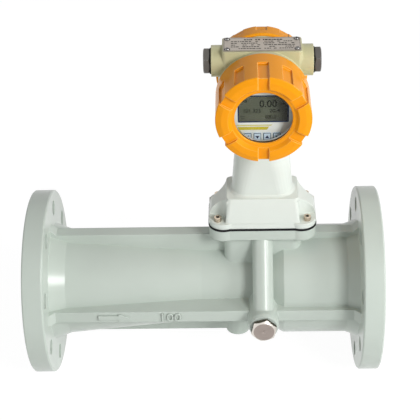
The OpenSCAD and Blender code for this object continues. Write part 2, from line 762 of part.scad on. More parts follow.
// Cast housing: barrel, cover spigots, flat-topped block, conduit bosses and swivel journal
module head_housing() color(head_paint) difference() {
    union() {
        at_head() translate([0, 0, -barrel_rear]) cylinder(d = barrel_d, h = barrel_rear + barrel_front);
        at_head() translate([0, 0, -spigot_rear]) cylinder(d = spigot_d, h = spigot_rear + spigot_front);
        at_head() rotate([-90, 0, 0]) linear_extrude(block_top)
            round_rect(block_w, block_depth, block_corner);
        at_head() translate([-conduit_face, conduit_rise, 0]) rotate([0, 90, 0])
            cylinder(d = conduit_boss_d, h = 2 * conduit_face);
        at_axis(swivel_face) cylinder(d = neck_top_d, h = collar_top - swivel_face);
        intersection() {
            at_axis(swivel_face) cylinder(d = neck_top_d, h = barrel_d / 3);
            translate([axis_x - neck_top_d, -barrel_front + overrun, swivel_face])
                cube([2 * neck_top_d, barrel_front + barrel_rear - 2 * overrun, barrel_d / 3]);
        }
        at_axis(neck_top - journal_len) cylinder(d = journal_d, h = journal_len + swivel_gap + overrun);
    }
    at_head() translate([-block_w / 2, block_top, -block_depth / 2]) cube([block_w, barrel_d, block_depth]);
    at_head() translate([0, 0, -spigot_rear - overrun])
        cylinder(d = cavity_d, h = spigot_rear + spigot_front + 2 * overrun);
    head_ways();
    at_axis(neck_top - journal_len + seal_w / 2) ring(journal_d, journal_d / 2 - seal_t, seal_w);
    plate_screw_places() translate([0, 0, -plate_screw_d])
        cylinder(d = plate_screw_d / 2, h = 2 * plate_screw_d);
}

// Partition pressed into the housing's bore between the compartments
module head_partition() color(head_paint) difference() {
    at_head() translate([0, 0, partition_rear])
        cylinder(d = cavity_d - 2 * play, h = partition_front - partition_rear);
    head_ways();
}

module neck_oring() color(black_rubber) at_axis(neck_top - journal_len + seal_w / 2)
    ring(journal_d / 2, journal_d / 2 - seal_t, seal_w);

// Puts one child on the block's top at each corner of the nameplate
module plate_screw_places() {
    for (x = [-1, 1]) for (y = [-1, 1])
        at_axis(head_z + block_top) translate([x * (plate_l / 2 - plate_screw_inset),
            y * (plate_w / 2 - plate_screw_inset), 0]) children();
}

module nameplate() color(steel) difference() {
    at_axis(head_z + block_top) linear_extrude(plate_t) round_rect(plate_l, plate_w, plate_t * 2);
    plate_screw_places() translate([0, 0, -overrun])
        cylinder(d = plate_screw_d / 2, h = plate_t + 2 * overrun);
}

module nameplate_screws() color(steel) plate_screw_places() {
    translate([0, 0, plate_t]) cylinder(d1 = plate_screw_d, d2 = plate_screw_d * 0.7, h = plate_t);
    translate([0, 0, -plate_screw_d * 0.8])
        cylinder(d = plate_screw_d / 2 - play, h = plate_t + plate_screw_d * 0.8);
}

// A hexagonal conduit plug on its washer, its stem in the entry's bore
module conduit_plug(side) at_head() translate([side * (conduit_face + washer_t), conduit_rise, 0])
    rotate([0, 90 * side, 0]) {
        rotate([0, 0, 30]) hex_head(conduit_plug_af, conduit_plug_h);
        translate([0, 0, -conduit_depth / 2]) cylinder(d = conduit_bore_d - 2 * play, h = conduit_depth / 2);
    }

module conduit_washer(side) at_head() translate([side * conduit_face, conduit_rise, 0])
    rotate([0, 90 * side, 0]) ring(conduit_plug_af * 0.54, conduit_bore_d / 2, washer_t);

module conduit_plug_left() color(dark_steel) conduit_plug(-1);
module conduit_plug_right() color(dark_steel) conduit_plug(1);
module conduit_washer_left() color(black_rubber) conduit_washer(-1);
module conduit_washer_right() color(black_rubber) conduit_washer(1);

// Puts one child at each post, on the partition's front face
module at_posts() at_head() for (p = post_shares)
    translate([p[0] * cavity_d / 2, p[1] * cavity_d / 2, partition_front]) children();

module board_posts() color(steel) at_posts() {
    cylinder(d = post_d, h = board_back - partition_front);
    translate([0, 0, board_back - partition_front]) cylinder(d = post_d / 2, h = board_t);
    translate([0, 0, board_front - partition_front]) cylinder(d = post_d, h = panel_back - board_front);
}

// Middle of a key along the row
function key_x(i) = key_shares[i] * key_pitch - key_shift;

module main_board() color([0.05, 0.30, 0.14]) at_head() {
    difference() {
        translate([0, 0, board_back]) cylinder(d = cavity_d - 2 * board_t, h = board_t);
        for (p = post_shares) translate([p[0] * cavity_d / 2, p[1] * cavity_d / 2, board_back - overrun])
            cylinder(d = post_d / 2, h = board_t + 2 * overrun);
    }
    for (i = [0:3]) translate([key_x(i), -key_drop, board_front])
        cylinder(d = key_w / 2, h = switch_top - board_front);
    translate([-lcd_w / 4, lcd_rise - lcd_h / 4, board_front]) cube([lcd_w / 3, lcd_h / 2, board_t * 2]);
}

// Front panel with the display's opening and four key openings
module display_panel() color([0.86, 0.87, 0.88]) at_head() difference() {
    translate([0, 0, panel_back]) cylinder(d = panel_d, h = panel_t);
    translate([0, lcd_rise, panel_back - overrun]) linear_extrude(panel_t + 2 * overrun)
        square([lcd_w + 2 * play, lcd_h + 2 * play], center = true);
    for (i = [0:3]) translate([key_x(i), -key_drop, panel_back - overrun])
        linear_extrude(panel_t + 2 * overrun) square([key_w + 4 * play, key_h + 4 * play], center = true);
}

module lcd_module() color([0.30, 0.36, 0.34]) at_head() translate([0, lcd_rise, 0]) {
    frame = lcd_w / 20;
    translate([-lcd_w / 2, -lcd_h / 2, panel_back - play]) cube([lcd_w, lcd_h, panel_t]);
    translate([-lcd_w / 2 - frame, -lcd_h / 2 - frame / 2, board_front + board_t * 2])
        cube([lcd_w + 2 * frame, lcd_h + frame, panel_back - board_front - board_t * 2]);
}

// A key: a cap in the panel's opening and a flange that stops behind the panel
module key(i) color([0.90, 0.91, 0.92]) at_head() translate([key_x(i), -key_drop, 0]) {
    wide = (key_pitch - key_w) * 0.3;
    translate([-key_w / 2, -key_h / 2, panel_back - key_flange_t / 2])
        cube([key_w, key_h, panel_t + key_stand + key_flange_t / 2]);
    translate([-key_w / 2 - wide, -key_h / 2 - wide, panel_back - key_flange_t])
        cube([key_w + 2 * wide, key_h + 2 * wide, key_flange_t]);
}

module key_left() key(0);
module key_down() key(1);
module key_up() key(2);
module key_right() key(3);

module battery_pack() color([0.20, 0.45, 0.35]) at_head() translate([0, 0, partition_front])
    linear_extrude(battery_t) round_rect(battery_w, battery_h, battery_h / 8);

// Terminal strip on the rear of the partition, with a screw recess over each pole
module terminal_block() color([0.12, 0.30, 0.22]) at_head() {
    strip_h = pole_pitch * 2;
    difference() {
        translate([-pole_count * pole_pitch / 2, -strip_h / 2, partition_rear - strip_h])
            cube([pole_count * pole_pitch, strip_h, strip_h]);
        for (i = [0:pole_count - 1])
            translate([(i + 0.5 - pole_count / 2) * pole_pitch, 0, partition_rear - strip_h - overrun])
                cylinder(d = pole_pitch * 0.6, h = pole_pitch / 2 + overrun);
    }
}

// Grooves along a cover's rim between two distances from the neck axis
module rim_grooves(count, turn, from, to, floor_r) {
    for (i = [0:count - 1]) rotate([0, 0, turn + i * 360 / count])
        translate([floor_r, -groove_w / 2, from]) cube([cover_d, groove_w, to - from]);
}

// Screwed front cover: a stepped window opening, six lugs round it and grooves along the rim
module front_cover() color(cover_paint) at_head() {
    r = cover_d / 2;
    back = barrel_front + face_gap;
    bore = spigot_d / 2 + play;
    face = cover_front - face_drop;
    rim = cover_front - lug_fall;
    edge = cover_front - window_drop;
    difference() {
        rotate_extrude() polygon([
            [bore, back], [r - cover_bevel, back], [r, back + cover_bevel], [r, rim - lug_lip],
            [r - lug_lip, rim], [lug_crest_d / 2, cover_front], [lug_inner_d / 2, cover_front],
            [lug_foot_d / 2, edge + lug_lip], [window_d / 2 + lug_lip, edge],
            [window_d / 2, edge - lug_lip], [window_d / 2, window_seat],
            [glass_d / 2 + play, window_seat], [glass_d / 2 + play, glass_back],
            [cover_ring_d / 2 + play, glass_back], [cover_ring_d / 2 + play, cover_bore_end],
            [bore, cover_bore_end]]);
        rim_grooves(groove_count, 0, cover_front - front_groove_len, face, r - front_groove_depth);
        rim_grooves(lug_count, 90, face - overrun, cover_front + overrun, r - front_groove_depth);
        rim_grooves(lug_count, 90, face, cover_front + overrun, lug_foot_d / 2 - overrun);
        translate([0, 0, back + seal_from_end]) ring(bore + seal_t, bore - overrun, seal_w);
    }
}

module front_cover_seal() color(black_rubber) at_head()
    translate([0, 0, barrel_front + face_gap + seal_from_end + play])
        ring(spigot_d / 2 + seal_t, spigot_d / 2 + play, seal_w - 2 * play);

module window_glass() color([0.75, 0.85, 0.88, 0.35]) at_head()
    translate([0, 0, glass_back]) cylinder(d = glass_d, h = glass_t);

module window_gasket() color(black_rubber) at_head()
    translate([0, 0, glass_back + glass_t]) ring(glass_d / 2, window_d / 2 + play, window_gasket_t);

module window_ring() color(dark_steel) at_head()
    translate([0, 0, glass_back - window_ring_t])
        ring(cover_ring_d / 2, window_d / 2 + overrun, window_ring_t);

// Blind rear cover over the terminals, with short grooves along its rim
module rear_cover() color(cover_paint) at_head() mirror([0, 0, 1]) {
    r = cover_d / 2;
    front = barrel_rear + face_gap;
    bore = spigot_d / 2 + play;
    difference() {
        rotate_extrude() polygon([
            [bore, front], [r - cover_bevel, front], [r, front + cover_bevel],
            [r, cover_rear - cover_bevel], [r - cover_bevel, cover_rear], [0, cover_rear],
            [0, cover_rear - rear_wall], [bore, cover_rear - rear_wall]]);
        rim_grooves(groove_count, 0, cover_rear - rear_groove_len, cover_rear + overrun,
            r - rear_groove_depth);
        translate([0, 0, front + seal_from_end]) ring(bore + seal_t, bore - overrun, seal_w);
    }
}

module rear_cover_seal() color(black_rubber) at_head() mirror([0, 0, 1])
    translate([0, 0, barrel_rear + face_gap + seal_from_end + play])
        ring(spigot_d / 2 + seal_t, spigot_d / 2 + play, seal_w - 2 * play);

meter_body();
swirl_generator();
generator_sleeve();
generator_ring();
swirl_breaker();
breaker_sleeve();
breaker_ring();
vortex_sensor();
temperature_probe();
pressure_sensor();
port_plug();
port_plug_seal();
neck_gasket();
neck_bracket();
neck_screws();
head_lock_screw();
head_housing();
head_partition();
neck_oring();
display_panel();
lcd_module();
key_left();
key_down();
key_up();
key_right();
main_board();
board_posts();
battery_pack();
terminal_block();
nameplate();
nameplate_screws();
conduit_plug_left();
conduit_plug_right();
conduit_washer_left();
conduit_washer_right();
front_cover();
window_glass();
window_gasket();
window_ring();
front_cover_seal();
rear_cover();
rear_cover_seal();
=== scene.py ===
"""Looks of a precession vortex flow meter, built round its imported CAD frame. Units are metres."""
import json
import math
import random

import bpy
from mathutils import Matrix, Vector


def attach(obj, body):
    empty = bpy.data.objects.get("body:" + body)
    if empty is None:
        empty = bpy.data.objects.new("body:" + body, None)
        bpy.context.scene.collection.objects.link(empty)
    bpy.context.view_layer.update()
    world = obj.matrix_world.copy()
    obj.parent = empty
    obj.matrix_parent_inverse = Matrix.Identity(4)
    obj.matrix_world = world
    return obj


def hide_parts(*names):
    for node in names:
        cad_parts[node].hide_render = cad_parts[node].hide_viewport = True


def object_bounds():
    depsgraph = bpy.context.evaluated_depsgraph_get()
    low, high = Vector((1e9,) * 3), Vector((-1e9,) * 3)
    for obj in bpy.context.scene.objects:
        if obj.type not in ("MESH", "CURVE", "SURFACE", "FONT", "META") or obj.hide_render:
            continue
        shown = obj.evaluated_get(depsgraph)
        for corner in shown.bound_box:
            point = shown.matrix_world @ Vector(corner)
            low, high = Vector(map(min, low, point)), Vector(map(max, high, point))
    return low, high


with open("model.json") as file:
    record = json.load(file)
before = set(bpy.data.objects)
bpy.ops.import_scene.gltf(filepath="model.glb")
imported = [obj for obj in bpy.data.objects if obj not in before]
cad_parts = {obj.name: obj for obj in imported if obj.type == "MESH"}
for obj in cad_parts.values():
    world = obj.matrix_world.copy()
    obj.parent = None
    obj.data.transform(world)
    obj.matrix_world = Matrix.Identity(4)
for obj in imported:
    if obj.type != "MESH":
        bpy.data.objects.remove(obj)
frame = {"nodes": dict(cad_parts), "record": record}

CAD_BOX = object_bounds()
MM = 0.001
NODES = frame["nodes"]

# Sizes shared with the solids, in millimetres
AXIS_X, HEAD_Z = 273.5, 267.0
BODY_LENGTH, BORE_R, FACE_R = 410.0, 50.5, 79.0
# SHADOW_RISE is the height of the painted shadows round the raised marks
RAIL_REACH, CAST_RELIEF, CAST_ROOT, SHADOW_RISE = 72.0, 1.7, 0.3, 0.12
PLUG_FRONT, PLUG_AF, PLUG_H, PLUG_TURN, PORT_R = 101.0, 27.0, 6.0, 17.0, 10.0
PANEL_FACE = 60.5
LCD_W, LCD_H, LCD_RISE = 53.0, 31.6, 2.5
KEY_W, KEY_TOP, KEY_PITCH, KEY_SHIFT = 8.0, -26.0, 10.3, -1.03
KEY_FACE = 61.1
PLATE_TOP, PLATE_L, PLATE_W = 314.3, 82.0, 31.0
PLATE_SCREW_X, PLATE_SCREW_Y = 37.1, 11.6
CAP_SCREW_X, CAP_SCREW_Y, CAP_SCREW_TOP, CAP_SOCKET_R = 51.2, 24.5, 107.9, 2.3
THREAD_R, THREAD_PITCH = 44.2, 2.0
SPIGOT_R, BARREL_FRONT, BARREL_REAR = 43.7, 26.0, 18.5
WINDOW_END, REAR_END = 60.0, 35.4

# Prints and films: how deep they are rooted, and how far they stand out
PRINT_ROOT, PRINT_H, LINE_H = 0.05, 0.06, 0.12

# Finishes: noise scales per metre, and the height of their relief in metres
CLOUD, GLOSS, SWELL, PEEL = 16, 55, 38, 620
SWELL_RELIEF, PEEL_RELIEF, TOOL_RELIEF, THREAD_RELIEF = 0.0006, 0.0003, 0.0002, 0.0004

# Camera of the photograph, in millimetres, degrees and pixels of its 420 pixel frame
CAM_POS = (248.523, -1146.385, 889.764)
CAM_PITCH, CAM_YAW, CAM_ROLL = 34.521, -1.779, 1.726
CAM_FOCAL, FRAME_PX, SENSOR = 1194.85, 420, 36.0
CAM_NEAR, CAM_FAR = 50.0, 50000.0

# Middle of the object, and the lamps round it: azimuth and elevation in degrees, distance and size
# in metres, and watts
AIM = Vector((0.22, 0.0, 0.08))
LAMPS = {
    "key": (-54, 31, 2.3, 0.60, 30),
    "side": (-26, 26, 2.3, 0.60, 15),
    "left_fill": (-158, 14, 2.3, 1.20, 9),
    "right_fill": (2, 14, 2.3, 0.90, 6),
    "back": (90, 45, 2.3, 1.00, 2),
}
AMBIENT = 0.23
FLOOR_SHARE, FLOOR_GLOW = 0.86, 1.10
FLOOR_GREY, FLOOR_ROUGH, FLOOR_REACH, FLOOR_DROP = 0.9, 0.8, 5000.0, 0.3


# Camera, lamps and world
def make_camera():
    p, y, r = (math.radians(a) for a in (CAM_PITCH, CAM_YAW, CAM_ROLL))
    view = Vector((math.sin(y) * math.cos(p), math.cos(y) * math.cos(p), -math.sin(p)))
    right = Vector((math.cos(y), -math.sin(y), 0.0))
    down = view.cross(right)
    right, down = right * math.cos(r) + down * math.sin(r), down * math.cos(r) - right * math.sin(r)
    data = bpy.data.cameras.new("camera")
    data.sensor_width, data.lens = SENSOR, CAM_FOCAL / FRAME_PX * SENSOR
    data.clip_start, data.clip_end = CAM_NEAR * MM, CAM_FAR * MM
    cam = bpy.data.objects.new("camera", data)
    bpy.context.collection.objects.link(cam)
    m = Matrix((right, -down, -view)).transposed().to_4x4()
    m.translation = Vector(CAM_POS) * MM
    cam.matrix_world = m
    bpy.context.scene.camera = cam


def make_lamp(name, azimuth, elevation, distance, size, power):
    a, e = math.radians(azimuth), math.radians(elevation)
    toward = Vector((math.cos(e) * math.cos(a), math.cos(e) * math.sin(a), math.sin(e)))
    data = bpy.data.lights.new(name, "AREA")
    data.shape, data.size, data.energy = "SQUARE", size, power
    ob = bpy.data.objects.new(name, data)
    bpy.context.collection.objects.link(ob)
    ob.location = AIM + toward * distance
    ob.rotation_euler = (-toward).to_track_quat("-Z", "Y").to_euler()


def seen_share(nt, high):
    """Value high for what camera, glass and metal see, and nought for the light on the object."""
    path = nt.nodes.new("ShaderNodeLightPath")
    kinds = ("Is Camera Ray", "Is Transmission Ray", "Is Glossy Ray")
    straight, through, mirrored = (path.outputs[kind] for kind in kinds)
    seen = math_node(nt, "MAXIMUM", math_node(nt, "MAXIMUM", straight, through), mirrored)
    return math_node(nt, "MULTIPLY", seen, high)


def make_world():
    bpy.context.scene.view_settings.view_transform = "Standard"
    world = bpy.data.worlds.new("studio")
    bpy.context.scene.world = world
    world.use_nodes = True
    nt = world.node_tree
    nt.nodes.clear()
    out = nt.nodes.new("ShaderNodeOutputWorld")
    bg = nt.nodes.new("ShaderNodeBackground")
    bg.inputs["Color"].default_value = (1, 1, 1, 1)
    nt.links.new(map_range(nt, seen_share(nt, 1.0), 0.0, 1.0, AMBIENT, 1.0), bg.inputs["Strength"])
    nt.links.new(bg.outputs[0], out.inputs["Surface"])


def make_floor():
    me = bpy.data.meshes.new("floor")
    z = CAD_BOX[0][2] - FLOOR_DROP * MM
    corners = rect(0, 0, 2 * FLOOR_REACH * MM, 2 * FLOOR_REACH * MM)
    me.from_pydata([(x, y, z) for x, y in corners], [], [(0, 1, 2, 3)])
    floor = bpy.data.objects.new("floor", me)
    bpy.context.collection.objects.link(floor)
    mat, nt, bsdf, coord = start_material("floor")
    bsdf.inputs["Base Color"].default_value = (FLOOR_GREY, FLOOR_GREY, FLOOR_GREY, 1)
    bsdf.inputs["Roughness"].default_value = FLOOR_ROUGH
    mix = nt.nodes.new("ShaderNodeMixShader")
    glow = nt.nodes.new("ShaderNodeEmission")
    glow.inputs["Strength"].default_value = FLOOR_GLOW
    nt.links.new(seen_share(nt, FLOOR_SHARE), mix.inputs["Fac"])
    nt.links.new(bsdf.outputs[0], mix.inputs[1])
    nt.links.new(glow.outputs[0], mix.inputs[2])
    nt.links.new(mix.outputs[0], material_output(nt).inputs["Surface"])
    me.materials.append(mat)


# Shader helpers
def start_material(name):
    mat = bpy.data.materials.new(name)
    mat.use_nodes = True
    nt = mat.node_tree
    nt.nodes.clear()
    out = nt.nodes.new("ShaderNodeOutputMaterial")
    bsdf = nt.nodes.new("ShaderNodeBsdfPrincipled")
    nt.links.new(bsdf.outputs[0], out.inputs["Surface"])
    coord = nt.nodes.new("ShaderNodeTexCoord")
    return mat, nt, bsdf, coord


def material_output(nt):
    return [n for n in nt.nodes if n.type == "OUTPUT_MATERIAL"][0]


def noise(nt, coord, scale, detail=2.0, rough=0.5, stretch=None):
    tex = nt.nodes.new("ShaderNodeTexNoise")
    tex.inputs["Scale"].default_value = scale
    tex.inputs["Detail"].default_value = detail
    tex.inputs["Roughness"].default_value = rough
    source = coord.outputs["Object"]
    if stretch:
        mapping = nt.nodes.new("ShaderNodeMapping")
        mapping.inputs["Scale"].default_value = stretch
        nt.links.new(source, mapping.inputs["Vector"])
        source = mapping.outputs[0]
    nt.links.new(source, tex.inputs["Vector"])
    return tex.outputs["Fac"]


def ramp(nt, source, stops):
    node = nt.nodes.new("ShaderNodeValToRGB")
    while len(node.color_ramp.elements) < len(stops):
        node.color_ramp.elements.new(0.5)
    for element, (at, colour) in zip(node.color_ramp.elements, stops):
        element.position, element.color = at, (*colour, 1)
    nt.links.new(source, node.inputs["Fac"])
    return node.outputs["Color"]


def tint(colour, k):
    return tuple(min(1.0, c * k) for c in colour)


def shades(colour, low, high):
    """Stops of a ramp that runs from a darker to a lighter shade of a colour."""
    return [(0.3, tint(colour, low)), (0.7, tint(colour, high))]


def map_range(nt, source, from_low, from_high, to_low, to_high):
    node = nt.nodes.new("ShaderNodeMapRange")
    ends = {"From Min": from_low, "From Max": from_high, "To Min": to_low, "To Max": to_high}
    for label, value in ends.items():
        node.inputs[label].default_value = value
    nt.links.new(source, node.inputs["Value"])
    return node.outputs["Result"]


def math_node(nt, kind, a, b=None):
    node = nt.nodes.new("ShaderNodeMath")
    node.operation = kind
    for socket, value in zip(node.inputs, (a, b)):
        if isinstance(value, (int, float)):
            socket.default_value = value
        elif value is not None:
            nt.links.new(value, socket)
    return node.outputs[0]


def object_xyz(nt, coord):
    """Place of a point of the surface, as one length for each of X, Y and Z."""
    parts = nt.nodes.new("ShaderNodeSeparateXYZ")
    nt.links.new(coord.outputs["Object"], parts.inputs[0])
    return parts.outputs


def radius_from(nt, a, b):
    """Distance from an axis, from the two lengths across it."""
    squares = [math_node(nt, "MULTIPLY", side, side) for side in (a, b)]
    return math_node(nt, "SQRT", math_node(nt, "ADD", *squares))


def inside_range(nt, value, low, high):
    """One where a length lies between two limits in millimetres, and nought elsewhere."""
    return math_node(nt, "MULTIPLY", math_node(nt, "GREATER_THAN", value, low * MM),
                     math_node(nt, "LESS_THAN", value, high * MM))


def mix_colour(nt, share, a, b):
    """Colour a where share is nought and b where it is one. Both are sockets or plain colours."""
    node = nt.nodes.new("ShaderNodeMix")
    node.data_type = "RGBA"
    nt.links.new(share, node.inputs["Factor"])
    for label, value in (("A", a), ("B", b)):
        socket = [s for s in node.inputs if s.name == label and s.type == "RGBA"][0]
        if isinstance(value, tuple):
            socket.default_value = (*value, 1)
        else:
            nt.links.new(value, socket)
    return [s for s in node.outputs if s.type == "RGBA"][0]


def soft_edges(nt, radius):
    """Normal rounded at the edges, and a share that is high along them, where the materials paint a
    highlight.
    """
    bevel = nt.nodes.new("ShaderNodeBevel")
    bevel.samples = 8
    bevel.inputs["Radius"].default_value = radius
    true = nt.nodes.new("ShaderNodeNewGeometry")
    turn = nt.nodes.new("ShaderNodeVectorMath")
    turn.operation = "DOT_PRODUCT"
    nt.links.new(bevel.outputs[0], turn.inputs[0])
    nt.links.new(true.outputs["Normal"], turn.inputs[1])
    return bevel.outputs[0], map_range(nt, turn.outputs["Value"], 0.97, 0.78, 0.0, 1.0)


def bump(nt, height, strength, distance, normal=None):
    node = nt.nodes.new("ShaderNodeBump")
    node.inputs["Strength"].default_value = strength
    node.inputs["Distance"].default_value = distance
    nt.links.new(height, node.inputs["Height"])
    if normal:
        nt.links.new(normal, node.inputs["Normal"])
    return node.outputs[0]


def uneven_gloss(nt, bsdf, source, low, high, source_low=0.3, source_high=0.7):
    """Roughness between two values, following a noise."""
    rough = map_range(nt, source, source_low, source_high, low, high)
    nt.links.new(rough, bsdf.inputs["Roughness"])


def linked(bsdf, label):
    """The socket that an input takes its value from."""
    return bsdf.inputs[label].links[0].from_socket


# Materials
def painted(name, colour, rough, edge=0.0014, painted_light_and_marks=None, shine=0.4, coat=0.0):
    """Sprayed paint on a casting: cloudy colour, a painted highlight along the edges, and orange
    peel over soft swells.
    """
    swell_share, peel_share = 0.012, 0.04
    mat, nt, bsdf, coord = start_material(name)
    normal, edges = soft_edges(nt, edge)
    cloud = ramp(nt, noise(nt, coord, CLOUD, 3), shades(colour, 0.975, 1.025))
    # Edges painted lighter, in the given colour or the paint's own colour brightened: a painted
    # highlight
    base = mix_colour(nt, edges, cloud, painted_light_and_marks or tint(colour, 1.12))
    nt.links.new(base, bsdf.inputs["Base Color"])
    uneven_gloss(nt, bsdf, noise(nt, coord, GLOSS, 1), rough * 0.92, rough * 1.1, 0.2, 0.8)
    normal = bump(nt, noise(nt, coord, SWELL, 1), swell_share, SWELL_RELIEF, normal)
    normal = bump(nt, noise(nt, coord, PEEL, 2), peel_share, PEEL_RELIEF, normal)
    nt.links.new(normal, bsdf.inputs["Normal"])
    bsdf.inputs["Specular IOR Level"].default_value = shine
    bsdf.inputs["Coat Weight"].default_value = coat
    bsdf.inputs["Coat Roughness"].default_value = 0.15
    return mat, nt, bsdf, coord


def body_paint(colour):
    """Body paint, with the gasket faces and the mouths of the bore left as turned metal."""
    mat, nt, bsdf, coord = painted("body_paint", colour, 0.30, shine=0.32, coat=0.18)
    xyz = object_xyz(nt, coord)
    radius = radius_from(nt, xyz["Y"], xyz["Z"])
    half, skin, mouth, groove_pitch = BODY_LENGTH / 2, 0.3, 40, 1.6
    offset = math_node(nt, "ABSOLUTE", math_node(nt, "SUBTRACT", xyz["X"], half * MM))
    on_face = math_node(nt, "MULTIPLY", math_node(nt, "GREATER_THAN", offset, (half - skin) * MM),
                        math_node(nt, "LESS_THAN", radius, FACE_R * MM))
    in_mouth = math_node(nt, "MULTIPLY", math_node(nt, "GREATER_THAN", offset, (half - mouth) * MM),
                         math_node(nt, "LESS_THAN", radius, BORE_R * MM))
    bare = math_node(nt, "MAXIMUM", on_face, in_mouth)
    old = linked(bsdf, "Base Color")
    rings = noise(nt, coord, 90, 3, 0.6, (0.2, 1, 1))
    turned = ramp(nt, rings, [(0.3, (0.42, 0.43, 0.43)), (0.7, (0.58, 0.59, 0.59))])
    nt.links.new(mix_colour(nt, bare, old, turned), bsdf.inputs["Base Color"])
    nt.links.new(bare, bsdf.inputs["Metallic"])
    phase = math_node(nt, "MULTIPLY", radius, 2 * math.pi / (groove_pitch * MM))
    height = math_node(nt, "MULTIPLY", math_node(nt, "SINE", phase), on_face)
    normal = bump(nt, height, 0.6, TOOL_RELIEF, linked(bsdf, "Normal"))
    nt.links.new(normal, bsdf.inputs["Normal"])
    return mat


def cut_thread(nt, bsdf, coord, radii, reaches):
    """Bare threaded metal between two radii round the head's axis, in two reaches along it."""
    xyz = object_xyz(nt, coord)
    east = math_node(nt, "SUBTRACT", xyz["X"], AXIS_X * MM)
    up = math_node(nt, "SUBTRACT", xyz["Z"], HEAD_Z * MM)
    radius = radius_from(nt, east, up)
    turn = math_node(nt, "DIVIDE", math_node(nt, "ARCTAN2", up, east), 2 * math.pi)
    phase = math_node(nt, "ADD", math_node(nt, "DIVIDE", xyz["Y"], THREAD_PITCH * MM), turn)
    wave = math_node(nt, "SINE", math_node(nt, "MULTIPLY", phase, 2 * math.pi))
    across = inside_range(nt, radius, *radii)
    along = [inside_range(nt, xyz["Y"], low, high) for low, high in reaches]
    bare = math_node(nt, "MULTIPLY", across, math_node(nt, "MAXIMUM", *along))
    base = mix_colour(nt, bare, linked(bsdf, "Base Color"), (0.50, 0.50, 0.49))
    nt.links.new(base, bsdf.inputs["Base Color"])
    nt.links.new(bare, bsdf.inputs["Metallic"])
    height = math_node(nt, "MULTIPLY", wave, bare)
    normal = bump(nt, height, 0.8, THREAD_RELIEF, linked(bsdf, "Normal"))
    nt.links.new(normal, bsdf.inputs["Normal"])


def cover_paint(colour, painted_light_and_marks):
    """Cover paint, with a painted yellow highlight along its edges and a bare screw thread inside
    the bore.
    """
    mat, nt, bsdf, coord = painted("cover_paint", colour, 0.30, painted_light_and_marks=painted_light_and_marks, shine=0.06, coat=0.16)
    bsdf.inputs["Coat Roughness"].default_value = 0.12
    cut_thread(nt, bsdf, coord, (0.0, THREAD_R), [(-WINDOW_END, 0.0), (0.0, REAR_END)])
    return mat


def head_paint(colour):
    """Housing paint, with a bare screw thread on the two spigots."""
    mat, nt, bsdf, coord = painted("head_paint", colour, 0.30, edge=0.0016, shine=0.22, coat=0.08)
    depth, margin = 1.0, 0.2
    spigots = [(-WINDOW_END - 2, -BARREL_FRONT), (BARREL_REAR, REAR_END)]
    cut_thread(nt, bsdf, coord, (SPIGOT_R - depth, SPIGOT_R + margin), spigots)
    return mat


def metal(name, colour, low, high, stretch=None, scale=60, metallic=1.0):
    """Machined or brushed metal: tool marks, uneven gloss, and a painted highlight along the edges.
    """
    mat, nt, bsdf, coord = start_material(name)
    normal, edges = soft_edges(nt, 0.0004)
    marks = noise(nt, coord, scale, 4, 0.6, stretch)
    base = ramp(nt, marks, shades(colour, 0.82, 1.12))
    # Edges painted lighter: a painted highlight
    nt.links.new(mix_colour(nt, edges, base, tint(colour, 1.5)), bsdf.inputs["Base Color"])
    uneven_gloss(nt, bsdf, marks, low, high)
    nt.links.new(bump(nt, marks, 0.15, TOOL_RELIEF, normal), bsdf.inputs["Normal"])
    bsdf.inputs["Metallic"].default_value = metallic
    return mat


def plug_metal(name, face, chamfer, side, axis):
    """Turned hexagon plug, coloured by the normal along its axis: a face colour, a bright chamfer
    that is a painted highlight, and flats that are painted shade.
    """
    mat, nt, bsdf, coord = start_material(name)
    normal, edges = soft_edges(nt, 0.0008)
    marks = noise(nt, coord, 60, 4, 0.6)
    parts = nt.nodes.new("ShaderNodeSeparateXYZ")
    nt.links.new(coord.outputs["Normal"], parts.inputs[0])
    facing = math_node(nt, "ABSOLUTE", parts.outputs[axis])
    # Colour by facing: the chamfer band is a painted highlight, the flats are painted shade
    base = ramp(nt, facing, [(0.12, side), (0.35, chamfer), (0.82, chamfer), (0.93, face)])
    painted_light_and_marks = mix_colour(nt, map_range(nt, marks, 0.35, 0.65, 0.0, 0.35), base, tint(face, 0.7))
    # Edges painted lighter still: a painted highlight
    nt.links.new(mix_colour(nt, edges, painted_light_and_marks, tint(chamfer, 1.3)), bsdf.inputs["Base Color"])
    uneven_gloss(nt, bsdf, marks, 0.28, 0.42)
    nt.links.new(bump(nt, marks, 0.12, TOOL_RELIEF, normal), bsdf.inputs["Normal"])
    bsdf.inputs["Metallic"].default_value = 0.9
    return mat


def socket_steel(name, colour):
    """Bronze-tinted cap screws of the bracket, with painted shade inside their sockets and a
    painted highlight on their edges.
    """
    mat, nt, bsdf, coord = start_material(name)
    normal, edges = soft_edges(nt, 0.0005)
    xyz = object_xyz(nt, coord)
    sideways = math_node(nt, "ABSOLUTE", math_node(nt, "SUBTRACT", xyz["X"], AXIS_X * MM))
    east = math_node(nt, "SUBTRACT", sideways, CAP_SCREW_X * MM)
    north = math_node(nt, "SUBTRACT", math_node(nt, "ABSOLUTE", xyz["Y"]), CAP_SCREW_Y * MM)
    # Near black inside each socket: painted shade in the recess
    inside = math_node(nt, "LESS_THAN", radius_from(nt, east, north), CAP_SOCKET_R * MM)
    below = math_node(nt, "LESS_THAN", xyz["Z"], CAP_SCREW_TOP * MM)
    painted_socket_shade = math_node(nt, "MULTIPLY", inside, below)
    marks = noise(nt, coord, 120, 4, 0.6)
    base = ramp(nt, marks, shades(colour, 0.8, 1.2))
    # Edges painted lighter: a painted highlight
    bright = mix_colour(nt, edges, base, tint(colour, 1.7))
    nt.links.new(mix_colour(nt, painted_socket_shade, bright, (0.012, 0.010, 0.009)), bsdf.inputs["Base Color"])
    uneven_gloss(nt, bsdf, marks, 0.2, 0.35)
    nt.links.new(bump(nt, marks, 0.12, TOOL_RELIEF, normal), bsdf.inputs["Normal"])
    bsdf.inputs["Metallic"].default_value = 0.9
    return mat


